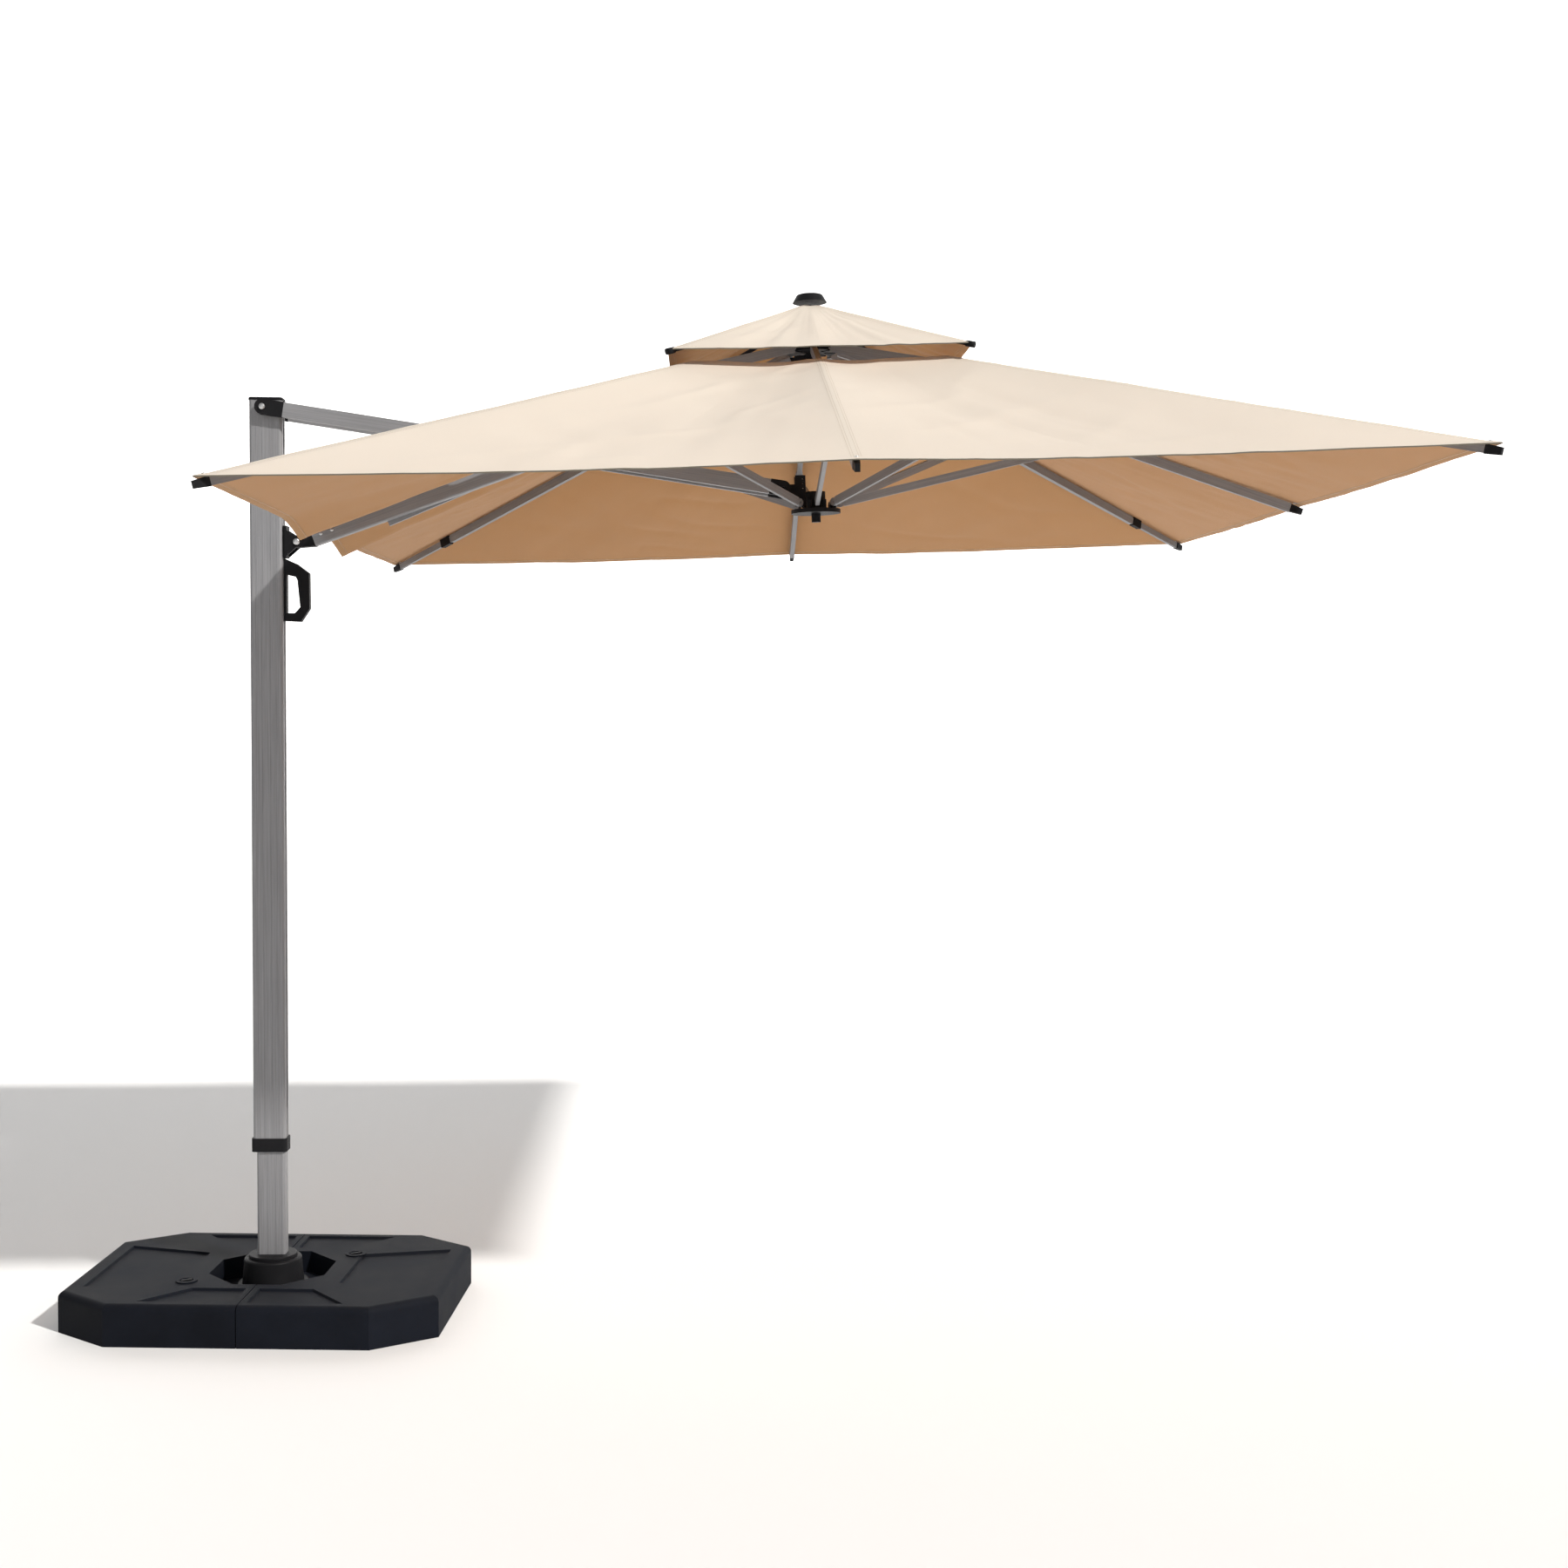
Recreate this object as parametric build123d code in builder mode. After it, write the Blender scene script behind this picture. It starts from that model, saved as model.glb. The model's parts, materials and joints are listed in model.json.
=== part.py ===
"""Cantilever patio umbrella with a two-tier square canopy and a ballast base.

Millimetres, +Z up. The origin is on the ground on the mast's swivel axis, and the arm reaches along +X.
A boom and a pair of tie arms cross like scissors: sliding the handle down the mast parts the two hubs
and folds the ribs. The canopy has a frame of its own, tipped up a little at the far side.
"""
import os
from math import atan2, cos, hypot, radians, sin, sqrt, tan

from build123d import *

os.makedirs("parts", exist_ok=True)

# Driving sizes.
SPAN = 3000                     # side of the square canopy
REACH, EDGE_HEIGHT = 1649, 2413  # middle of the canopy's corner plane
TILT = 2.1                      # degrees that the canopy's far side is tipped up
MAST_TOP = 2752
MAST_WIDTH, MAST_DEPTH, MAST_X = 98, 54, -4
LOWER_WIDTH, LOWER_DEPTH = 86, 48
BASE_LENGTH, BASE_DEPTH, BASE_HEIGHT = 1120, 780, 122
BASE_TURN = -3.8                # degrees that the base is turned under the arm
WALL = 2.5                      # of the aluminium tubes
RUN = 0.4                       # gap between parts that slide or turn on each other
FABRIC = 1                      # thickness of the cloth solids

# Heights and radii in the canopy's frame, from its corner plane up.
APEX, HEM = 562, 6              # where the lower tier's slopes would meet, and its edge
VENT_APEX, VENT_HEM, VENT_SPAN = 655, 436, 862
VENT_HOLE = 640                 # side of the lower tier's opening
TOP_PIN_R, TOP_PIN_Z = 55, 518
RUNNER_PIN_R, RUNNER_PIN_Z = 75, 50
STRUT_PIN_R = 820               # where every strut meets its rib
RIB_TIP_Z = -12
RIB_WIDTH, RIB_HEIGHT = 16, 28
STRUT_WIDTH, STRUT_HEIGHT = 12, 24

# Pivots in the XZ plane.
TIE_PIN, SLIDER_PIN = (-8, 2729), (87, 2331)
BOOM_WIDTH, BOOM_HEIGHT = 38, 58
TIE_WIDTH, TIE_HEIGHT, TIE_Y = 18, 44, 43
BOLT = 5                        # radius of the pivot bolts

lean = radians(TILT)
canopy = Plane(
    origin=(REACH, 0, EDGE_HEIGHT), x_dir=(cos(lean), 0, sin(lean)), z_dir=(-sin(lean), 0, cos(lean))
)
ground = Plane.XY.rotated((0, 0, BASE_TURN))


def radial(azimuth):
    """Plane through the canopy's axis: its x runs outwards and its y up along the axis."""
    outwards = canopy.x_dir * cos(radians(azimuth)) + canopy.y_dir * sin(radians(azimuth))
    return Plane(origin=canopy.origin, x_dir=outwards, z_dir=outwards.cross(canopy.z_dir))


def upright(point, y=0):
    """Plane facing -Y with its origin at an (x, z) point."""
    return Plane(origin=(point[0], y, point[1]), x_dir=(1, 0, 0), z_dir=(0, -1, 0))


def along(plane, start, end):
    """Plane across the line between two points of a plane: x is that plane's normal."""
    first, last = plane.from_local_coords(Vector(*start)), plane.from_local_coords(Vector(*end))
    return Plane(origin=first, x_dir=plane.z_dir, z_dir=last - first)


def beyond(start, end, distance):
    """Point at a distance past the start of a line, towards its end."""
    share = distance / hypot(end[0] - start[0], end[1] - start[1])
    return start[0] + (end[0] - start[0]) * share, start[1] + (end[1] - start[1]) * share


def save(part, name):
    """Labels a sub-part and writes its file."""
    part.label = name
    export_step(part, f"parts/{name}.step")


def world(point):
    """(x, z) in the world of a (radius, height) point in the canopy's XZ plane."""
    found = canopy.from_local_coords(Vector(point[0], 0, point[1]))
    return found.X, found.Z


HUB_PIN, RUNNER_TIE_PIN = world((0, 486)), world((-100, 95))
boom_slope = atan2(HUB_PIN[1] - SLIDER_PIN[1], HUB_PIN[0] - SLIDER_PIN[0])
tie_slope = atan2(RUNNER_TIE_PIN[1] - TIE_PIN[1], RUNNER_TIE_PIN[0] - TIE_PIN[0])
reach_to_cross = (TIE_PIN[1] - SLIDER_PIN[1] + (SLIDER_PIN[0] - TIE_PIN[0]) * tan(tie_slope)) / (
    tan(boom_slope) - tan(tie_slope)
)
CROSS_PIN = (SLIDER_PIN[0] + reach_to_cross, SLIDER_PIN[1] + reach_to_cross * tan(boom_slope))

# ---------------------------------------------------------------- base

SEAM, WELL_R = 3, 190
CHAMFER_X, CHAMFER_Y = 176, 124
SUNK_PANEL = [(20, 215), (180, 215), (300, 350), (20, 350)]


def base_outline(inset):
    """Corners of the base's chamfered rectangle, inset all round."""
    x, y = BASE_LENGTH / 2 - inset, BASE_DEPTH / 2 - inset
    quarter = [(x, y - CHAMFER_Y), (x - CHAMFER_X, y)]
    return quarter + [(-a, b) for a, b in reversed(quarter)] + [(-a, -b) for a, b in quarter] + [
        (a, -b) for a, b in reversed(quarter)
    ]


CAP_X, CAP_Y, CAP_R = 218, 150, 20
for side, turn in (("left", 180), ("right", 0)):
    half = ground.rotated((0, 0, turn))
    with BuildPart() as tank:
        with BuildSketch(half):
            Polygon(*base_outline(0), align=None)
            with Locations((-BASE_LENGTH / 2 + SEAM / 2, 0)):
                Rectangle(BASE_LENGTH, BASE_DEPTH, mode=Mode.SUBTRACT)
        extrude(amount=BASE_HEIGHT)
        rim = tank.faces().sort_by(Axis.Z)[-1].outer_wire().edges()
        fillet(rim.filter_by(lambda edge: (half.to_local_coords(edge.center())).X > SEAM), radius=20)
        # Sunk panels leave a raised cross on top.
        with BuildSketch(half.offset(BASE_HEIGHT)):
            Polygon((240, -150), (505, -215), (505, 215), (240, 150), align=None)
            for mirror in (1, -1):
                Polygon(*[(x, y * mirror) for x, y in SUNK_PANEL], align=None)
        extrude(amount=-7, mode=Mode.SUBTRACT, taper=25)
        with BuildSketch(half.offset(BASE_HEIGHT)):
            RegularPolygon(WELL_R, 8, rotation=22.5)
        extrude(amount=-66, mode=Mode.SUBTRACT)
        # Channel for the steel cross underneath.
        with BuildSketch(half):
            Rectangle(2 * 500 + 8, 68)
            Rectangle(68, 2 * 350 + 8)
        extrude(amount=12, mode=Mode.SUBTRACT)
        with BuildSketch(half.offset(BASE_HEIGHT - 66)):
            Circle(62)
        extrude(amount=-BASE_HEIGHT, mode=Mode.SUBTRACT)
        with BuildSketch(half.offset(BASE_HEIGHT)):
            with Locations((CAP_X, CAP_Y)):
                Circle(CAP_R + 12)
        extrude(amount=4)
        with BuildSketch(half.offset(BASE_HEIGHT + 4)):
            with Locations((CAP_X, CAP_Y)):
                Circle(CAP_R)
        extrude(amount=-20, mode=Mode.SUBTRACT)
    save(tank.part, f"tank_{side}")

    with BuildPart() as filler:
        with BuildSketch(half.offset(BASE_HEIGHT - 15)):
            with Locations((CAP_X, CAP_Y)):
                Circle(CAP_R - RUN)
        extrude(amount=14)
        with BuildSketch(half.offset(BASE_HEIGHT - 1)):
            with Locations((CAP_X, CAP_Y)):
                Rectangle(2 * CAP_R - 8, 7, rotation=35)
        extrude(amount=6)
    save(filler.part, f"filler_cap_{side}")

with BuildPart() as cross_frame:
    with BuildSketch(ground):
        Rectangle(1000, 60)
        Rectangle(60, 700)
    extrude(amount=10)
    with BuildSketch(ground.offset(10)):
        Circle(58)
    extrude(amount=BASE_HEIGHT - 60)
save(cross_frame.part, "cross_frame")

HUB_TOP = 170
with BuildPart() as hub_socket:
    with BuildSketch(ground.offset(BASE_HEIGHT - 50)):
        Circle(104)
    extrude(amount=8)
    with BuildSketch(ground.offset(BASE_HEIGHT - 42)):
        Circle(92)
    extrude(amount=HUB_TOP - BASE_HEIGHT + 30, taper=5)
    fillet(hub_socket.faces().sort_by(Axis.Z)[-1].edges(), radius=8)
    with BuildSketch(ground.offset(HUB_TOP - 12)):
        Circle(38 + RUN)
    extrude(amount=-60, mode=Mode.SUBTRACT)
save(hub_socket.part, "hub_socket")

# ---------------------------------------------------------------- mast

with BuildPart() as swivel_flange:
    with BuildSketch(Plane.XY.offset(HUB_TOP - 70)):
        Circle(38)
    extrude(amount=58 + RUN)
    with BuildSketch(Plane.XY.offset(HUB_TOP - 12 + RUN)):
        Circle(72)
    extrude(amount=10)
    fillet(swivel_flange.faces().sort_by(Axis.Z)[-1].edges(), radius=3)
save(swivel_flange.part, "swivel_flange")


def mast_groove_places():
    """Where the shallow grooves run on the mast's two broad faces."""
    return [(x, y) for x in (-30, -12, 12, 30) for y in (-1, 1)]


COLLAR = (485, 525)
with BuildPart() as mast_lower:
    with BuildSketch(Plane.XY.offset(HUB_TOP - 2 + RUN)):
        RectangleRounded(LOWER_WIDTH, LOWER_DEPTH, 9)
        RectangleRounded(LOWER_WIDTH - 2 * WALL, LOWER_DEPTH - 2 * WALL, 6.5, mode=Mode.SUBTRACT)
        with Locations([(x, y * LOWER_DEPTH / 2) for x, y in mast_groove_places()]):
            Rectangle(4, 1.6, mode=Mode.SUBTRACT)
    extrude(amount=COLLAR[1] + 90 - HUB_TOP)
save(mast_lower.part, "mast_lower")

mast_axis = Plane(origin=(MAST_X, 0, 0), x_dir=(1, 0, 0), z_dir=(0, 0, 1))
SLOT = 14
with BuildPart() as mast_upper:
    with BuildSketch(mast_axis.offset(COLLAR[0] + 10)):
        RectangleRounded(MAST_WIDTH, MAST_DEPTH, 10)
        with Locations((-MAST_X, 0)):
            RectangleRounded(LOWER_WIDTH + RUN, LOWER_DEPTH + RUN, 9, mode=Mode.SUBTRACT)
        with Locations([(x, y * MAST_DEPTH / 2) for x, y in mast_groove_places()]):
            Rectangle(4, 1.6, mode=Mode.SUBTRACT)
        with Locations((MAST_WIDTH / 2, 0)):
            Rectangle(12, SLOT, mode=Mode.SUBTRACT)
    extrude(amount=MAST_TOP - COLLAR[0] - 10)
    with BuildSketch(upright(TIE_PIN, -60)):
        Circle(BOLT + RUN)
    extrude(amount=-120, mode=Mode.SUBTRACT)
save(mast_upper.part, "mast_upper")

with BuildPart() as mast_collar:
    with BuildSketch(mast_axis.offset(COLLAR[0])):
        RectangleRounded(MAST_WIDTH + 9, MAST_DEPTH + 9, 12)
        RectangleRounded(MAST_WIDTH + RUN, MAST_DEPTH + RUN, 10, mode=Mode.SUBTRACT)
    extrude(amount=COLLAR[1] - COLLAR[0])
save(mast_collar.part, "mast_collar")

with BuildPart() as mast_cap:
    with BuildSketch(mast_axis.offset(MAST_TOP)):
        RectangleRounded(MAST_WIDTH + 4, MAST_DEPTH + 2, 11)
    extrude(amount=9)
    fillet(mast_cap.faces().sort_by(Axis.Z)[-1].edges(), radius=4)
save(mast_cap.part, "mast_cap")

# ---------------------------------------------------------------- tie arms and boom

TIE_SHOE = 62
with BuildPart() as tie_arms:
    for y in (-TIE_Y, TIE_Y):
        first, last = beyond(TIE_PIN, RUNNER_TIE_PIN, TIE_SHOE), beyond(RUNNER_TIE_PIN, TIE_PIN, 40)
        section = along(upright((0, 0), y), first, last)
        with BuildSketch(section):
            Rectangle(TIE_WIDTH, TIE_HEIGHT)
            Rectangle(TIE_WIDTH - 2 * WALL, TIE_HEIGHT - 2 * WALL, mode=Mode.SUBTRACT)
        extrude(amount=hypot(last[0] - first[0], last[1] - first[1]))
    with BuildSketch(upright(CROSS_PIN, -TIE_Y - 20)):
        Circle(BOLT + RUN)
    extrude(amount=-2 * TIE_Y - 40, mode=Mode.SUBTRACT)
save(tie_arms.part, "tie_arms")


def shoe_plane(pin, towards, y):
    """Plane at a pivot, facing -Y, whose x runs along the tube."""
    return Plane(
        origin=(pin[0], y, pin[1]), x_dir=(towards[0] - pin[0], 0, towards[1] - pin[1]), z_dir=(0, -1, 0)
    )


with BuildPart() as tie_shoes:
    for y in (-TIE_Y, TIE_Y):
        for pin, towards, length in ((TIE_PIN, RUNNER_TIE_PIN, TIE_SHOE), (RUNNER_TIE_PIN, TIE_PIN, 40)):
            with BuildSketch(shoe_plane(pin, towards, y + TIE_WIDTH / 2)):
                Circle(23)
                with Locations((length / 2 - RUN / 2, 0)):
                    Rectangle(length - RUN, 46)
                Circle(BOLT + RUN, mode=Mode.SUBTRACT)
            extrude(amount=TIE_WIDTH)
save(tie_shoes.part, "tie_shoes")

BOOM_SHOE = 48
boom_first, boom_last = beyond(SLIDER_PIN, HUB_PIN, BOOM_SHOE), beyond(HUB_PIN, SLIDER_PIN, 62)
with BuildPart() as boom:
    with BuildSketch(along(upright((0, 0)), boom_first, boom_last)):
        RectangleRounded(BOOM_WIDTH, BOOM_HEIGHT, 5)
        RectangleRounded(BOOM_WIDTH - 2 * WALL, BOOM_HEIGHT - 2 * WALL, 2.5, mode=Mode.SUBTRACT)
    extrude(amount=hypot(boom_last[0] - boom_first[0], boom_last[1] - boom_first[1]))
    with BuildSketch(upright(CROSS_PIN, -40)):
        Circle(BOLT + RUN)
    extrude(amount=-80, mode=Mode.SUBTRACT)
save(boom.part, "boom")

with BuildPart() as boom_shoe:
    with BuildSketch(shoe_plane(SLIDER_PIN, HUB_PIN, BOOM_WIDTH / 2)):
        Circle(17)
        Polygon((0, -17), (BOOM_SHOE - RUN, -30), (BOOM_SHOE - RUN, 30), (0, 17), align=None)
        Circle(BOLT + RUN, mode=Mode.SUBTRACT)
    extrude(amount=BOOM_WIDTH)
save(boom_shoe.part, "boom_shoe")

with BuildPart() as boom_head:
    with BuildSketch(shoe_plane(HUB_PIN, SLIDER_PIN, 11)):
        Circle(16)
        Polygon((0, -16), (62 - RUN, -24), (62 - RUN, 24), (0, 16), align=None)
        Circle(BOLT + RUN, mode=Mode.SUBTRACT)
    extrude(amount=22)
save(boom_head.part, "boom_head")

# Short arm on the boom's far side that holds the hem where the slit leaves no rib.
hem_start, hem_end = (690, 2543), (352, 2396)
with BuildPart() as hem_arm:
    with BuildSketch(along(upright((0, 0), BOOM_WIDTH / 2 + 8), hem_start, hem_end)):
        Rectangle(16, 24)
    extrude(amount=hypot(hem_end[0] - hem_start[0], hem_end[1] - hem_start[1]))
save(hem_arm.part, "hem_arm")

for name, pin in (("cross_bolt", CROSS_PIN), ("tie_bolt", TIE_PIN)):
    with BuildPart() as bolt:
        with BuildSketch(upright(pin, -TIE_Y - TIE_WIDTH / 2)):
            Circle(BOLT)
        extrude(amount=-2 * TIE_Y - TIE_WIDTH)
        for y, way in ((-TIE_Y - TIE_WIDTH / 2, 1), (TIE_Y + TIE_WIDTH / 2, -1)):
            with BuildSketch(upright(pin, y)):
                Circle(9)
            extrude(amount=4 * way)
    save(bolt.part, name)

# ---------------------------------------------------------------- slider and handle

face = MAST_X + MAST_WIDTH / 2
with BuildPart() as slider:
    with BuildSketch(Plane.XY.offset(SLIDER_PIN[1] - 48)):
        with Locations((face + 1 + 5, 0)):
            Rectangle(10, MAST_DEPTH - 6)
        with Locations((face - 2, 0)):
            Rectangle(8, SLOT - 3)
    extrude(amount=96)
    for y in (-BOOM_WIDTH / 2 - 1, BOOM_WIDTH / 2 + 9):
        with BuildSketch(upright((0, 0), y)):
            with Locations(SLIDER_PIN):
                Circle(16)
            Polygon(
                (face + 6, 2283), (SLIDER_PIN[0], 2315), (SLIDER_PIN[0], 2347), (face + 6, 2370), align=None
            )
        extrude(amount=8)
    with BuildSketch(upright(SLIDER_PIN, -BOOM_WIDTH / 2 - 12)):
        Circle(BOLT)
    extrude(amount=-BOOM_WIDTH - 24)
save(slider.part, "slider")

GRIP_TOP, GRIP_LOW, GRIP_X = 2283, 2092, 118
with BuildPart() as handle:
    with BuildSketch(upright((0, 0), -13)):
        with BuildLine():
            Polyline(
                (face + 1, GRIP_TOP - 1), (face + 40, GRIP_TOP - 18), (GRIP_X + 3, GRIP_TOP - 45),
                (GRIP_X + 4, GRIP_LOW + 40), (GRIP_X - 22, GRIP_LOW), (face + 1, GRIP_LOW + 2), close=True,
            )
        make_face()
        with BuildLine():
            Polyline(
                (face + 9, GRIP_TOP - 50), (face + 36, GRIP_TOP - 56), (GRIP_X - 32, GRIP_TOP - 66),
                (GRIP_X - 24, GRIP_LOW + 44), (GRIP_X - 40, GRIP_LOW + 26), (face + 9, GRIP_LOW + 26),
                close=True,
            )
        make_face(mode=Mode.SUBTRACT)
    extrude(amount=-26)
save(handle.part, "handle")

# ---------------------------------------------------------------- hubs

RIB_AZIMUTHS = (0, 45, 90, 135, 225, 270, 315)
CORNERS = (45, 135, 225, 315)
RUNNER_POSTS = (22.5, 67.5, 112.5, 247.5, 292.5, 337.5)

with BuildPart() as top_hub:
    with BuildSketch(canopy.offset(TOP_PIN_Z - 14)):
        Circle(RUNNER_PIN_R)
    extrude(amount=32)
    with BuildSketch(canopy.offset(TOP_PIN_Z + 18)):
        Circle(24)
    extrude(amount=VENT_APEX - FABRIC - 16 - TOP_PIN_Z - 18)
    for azimuth in RIB_AZIMUTHS:
        with BuildSketch(radial(azimuth)):
            with Locations((TOP_PIN_R + 10, TOP_PIN_Z)):
                Rectangle(50, 60)
        extrude(amount=RIB_WIDTH / 2 - 2, both=True, mode=Mode.SUBTRACT)
    # Fork below for the boom's head.
    with BuildSketch(canopy.offset(TOP_PIN_Z - 14)):
        with Locations((0, 16), (0, -16)):
            Rectangle(36, 8)
    extrude(amount=-36)
    with BuildSketch(upright(HUB_PIN, -22)):
        Circle(BOLT)
    extrude(amount=-44)
save(top_hub.part, "top_hub")

with BuildPart() as apex_cap:
    with BuildSketch(canopy.offset(VENT_APEX + 1)):
        Circle(52)
    extrude(amount=24, taper=30)
    fillet(apex_cap.faces().sort_by(Axis.Z)[-1].edges(), radius=8)
save(apex_cap.part, "apex_cap")

with BuildPart() as runner:
    with BuildSketch(canopy.offset(RUNNER_PIN_Z - 30)):
        Circle(RUNNER_PIN_R)
    extrude(amount=12)
    with BuildSketch(canopy.offset(RUNNER_PIN_Z - 18)):
        Circle(30)
    extrude(amount=54)
    with BuildSketch(canopy.offset(RUNNER_PIN_Z - 30)):
        Circle(14)
    extrude(amount=-26)
    with BuildSketch(canopy.offset(RUNNER_PIN_Z - 18)):
        with Locations(*[(58 * cos(radians(a)), 58 * sin(radians(a))) for a in RUNNER_POSTS]):
            Circle(7)
    extrude(amount=26)
save(runner.part, "runner")

# Bracket that takes the tie arms, with the notches that set the canopy's tilt.
with BuildPart() as tie_bracket:
    for y in (-27, 21):
        with BuildSketch(Plane(origin=canopy.origin + (0, y, 0), x_dir=canopy.x_dir, z_dir=(0, -1, 0))):
            Polygon(
                (-112, 108), (-86, 78), (-30.4, 34), (-30.4, 135), (-62, 135), (-62, 108), align=None
            )
            with Locations(*[(-38, z) for z in (98, 112, 126)]):
                Circle(4, mode=Mode.SUBTRACT)
        extrude(amount=-6)
    with BuildSketch(upright(RUNNER_TIE_PIN, -32)):
        Circle(BOLT)
    extrude(amount=-64)
save(tie_bracket.part, "tie_bracket")

# ---------------------------------------------------------------- ribs and struts

CAP_LENGTH, SLEEVE = 34, 50
STEP_R = 1770                   # where the corner ribs change to a thinner tube
TAB_WIDTH = 10


def rib_tip(azimuth):
    """(radius, height) of the end of a rib's centreline."""
    return SPAN / 2 * (sqrt(2) if azimuth in CORNERS else 1) - 6, RIB_TIP_Z


def strut_pin(azimuth):
    """(radius, height) of the pin under a rib that its strut turns on."""
    tip = rib_tip(azimuth)
    share = (STRUT_PIN_R - TOP_PIN_R) / (tip[0] - TOP_PIN_R)
    return STRUT_PIN_R, TOP_PIN_Z + (tip[1] - TOP_PIN_Z) * share - 30


for azimuth in RIB_AZIMUTHS:
    plane, pin, tip, lug = radial(azimuth), (TOP_PIN_R, TOP_PIN_Z), rib_tip(azimuth), strut_pin(azimuth)
    stepped = azimuth in CORNERS
    length = hypot(tip[0] - pin[0], tip[1] - pin[1]) - CAP_LENGTH
    main_end = (STEP_R - TOP_PIN_R) / cos(atan2(pin[1] - tip[1], tip[0] - pin[0])) if stepped else length

    with BuildPart() as rib:
        root = along(plane, beyond(pin, tip, 30), tip)
        with BuildSketch(root):
            Rectangle(RIB_WIDTH, RIB_HEIGHT)
        extrude(amount=8)
        with BuildSketch(root.offset(8)):
            Rectangle(RIB_WIDTH, RIB_HEIGHT)
            Rectangle(RIB_WIDTH - 3, RIB_HEIGHT - 3, mode=Mode.SUBTRACT)
        extrude(amount=main_end - 38)
        if stepped:
            with BuildSketch(root.offset(main_end - 38)):
                Rectangle(RIB_WIDTH, RIB_HEIGHT)
            extrude(amount=8)
            with BuildSketch(root.offset(main_end - 30)):
                Rectangle(RIB_WIDTH - 4, RIB_HEIGHT - 7)
            extrude(amount=length - main_end)
        # Tab that turns on the hub's pin.
        with BuildSketch(plane):
            with Locations(pin):
                Circle(9)
            Polygon(pin, beyond(pin, tip, 31), (beyond(pin, tip, 31)[0], pin[1] - 16), align=None)
            with Locations(pin):
                Circle(3 + RUN, mode=Mode.SUBTRACT)
        extrude(amount=TAB_WIDTH / 2, both=True)
        # Cheeks and pin for the strut.
        for offset in (-RIB_WIDTH / 2 - 3, RIB_WIDTH / 2):
            with BuildSketch(plane.offset(offset)):
                with Locations(lug):
                    Circle(9)
                feet = [(lug[0] + x, lug[1] + z) for x, z in ((-9, 0), (9, 0), (22, 28), (-22, 32))]
                Polygon(*feet, align=None)
            extrude(amount=3)
        with BuildSketch(plane.offset(-RIB_WIDTH / 2)):
            with Locations(lug):
                Circle(3)
        extrude(amount=RIB_WIDTH)
    save(rib.part, f"rib_{azimuth}")

    with BuildPart() as rib_cap:
        with BuildSketch(along(plane, beyond(tip, pin, CAP_LENGTH - RUN), tip)):
            Rectangle(RIB_WIDTH + 2, RIB_HEIGHT - 4)
        extrude(amount=CAP_LENGTH + 6, taper=4)
        if stepped:
            with BuildSketch(along(plane, beyond(pin, tip, main_end + 8 + RUN), tip)):
                Rectangle(RIB_WIDTH + 3, RIB_HEIGHT + 2)
                Rectangle(RIB_WIDTH - 4 + RUN, RIB_HEIGHT - 7 + RUN, mode=Mode.SUBTRACT)
            extrude(amount=SLEEVE)
    save(rib_cap.part, f"rib_cap_{azimuth}")

    foot = (RUNNER_PIN_R, RUNNER_PIN_Z)
    with BuildPart() as strut:
        with BuildSketch(along(plane, beyond(foot, lug, 16), lug)):
            Rectangle(STRUT_WIDTH, STRUT_HEIGHT)
            Rectangle(STRUT_WIDTH - 3, STRUT_HEIGHT - 3, mode=Mode.SUBTRACT)
        extrude(amount=hypot(lug[0] - foot[0], lug[1] - foot[1]) - 32)
        for end, other in ((foot, lug), (lug, foot)):
            with BuildSketch(along(plane, beyond(end, other, 10), other)):
                Rectangle(STRUT_WIDTH, STRUT_HEIGHT)
            extrude(amount=10)
            with BuildSketch(plane):
                with Locations(end):
                    Circle(STRUT_HEIGHT / 2)
                    Circle(3 + RUN, mode=Mode.SUBTRACT)
            extrude(amount=STRUT_WIDTH / 2, both=True)
    save(strut.part, f"strut_{azimuth}")

# ---------------------------------------------------------------- canopy


def level_side(span, apex, hem, height):
    """Side of a square tier's level outline at a height."""
    return span * (apex - height) / (apex - hem)


def sector(azimuth, half_angle):
    """Corners of a wide kite about an azimuth, from the canopy's axis outwards."""
    turns = [radians(azimuth + turn) for turn in (-half_angle, 0, half_angle)]
    return [(0, 0)] + [(SPAN * cos(turn), SPAN * sin(turn)) for turn in turns]


# The slit lets the tie arms and then the boom through the side towards the mast.
SLIT_START, SLIT_STEP, SLIT_WIDE, SLIT_NARROW = 560, 1030, 116, 52
for azimuth in range(0, 360, 45):
    with BuildPart() as panel:
        high = APEX - (APEX - HEM) * VENT_HOLE / SPAN
        for drop, mode in ((0, Mode.ADD), (FABRIC, Mode.SUBTRACT)):
            with BuildSketch(canopy.offset(HEM - drop)):
                Rectangle(SPAN, SPAN)
            with BuildSketch(canopy.offset(high + drop)):
                Rectangle(*[level_side(SPAN, APEX, HEM, high + 2 * drop)] * 2)
            loft(mode=mode)
        with BuildSketch(canopy.offset(-20)):
            Polygon(*sector(azimuth, 22.5), align=None)
        extrude(amount=APEX, mode=Mode.INTERSECT)
        if azimuth == 180:
            with BuildSketch(canopy.offset(-20)):
                for start, end, width in ((SLIT_START, SLIT_STEP, SLIT_WIDE), (SLIT_STEP, SPAN, SLIT_NARROW)):
                    with Locations((-(start + end) / 2, 0)):
                        Rectangle(end - start, width)
            extrude(amount=APEX, mode=Mode.SUBTRACT)
    save(panel.part, f"panel_{azimuth}")

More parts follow.
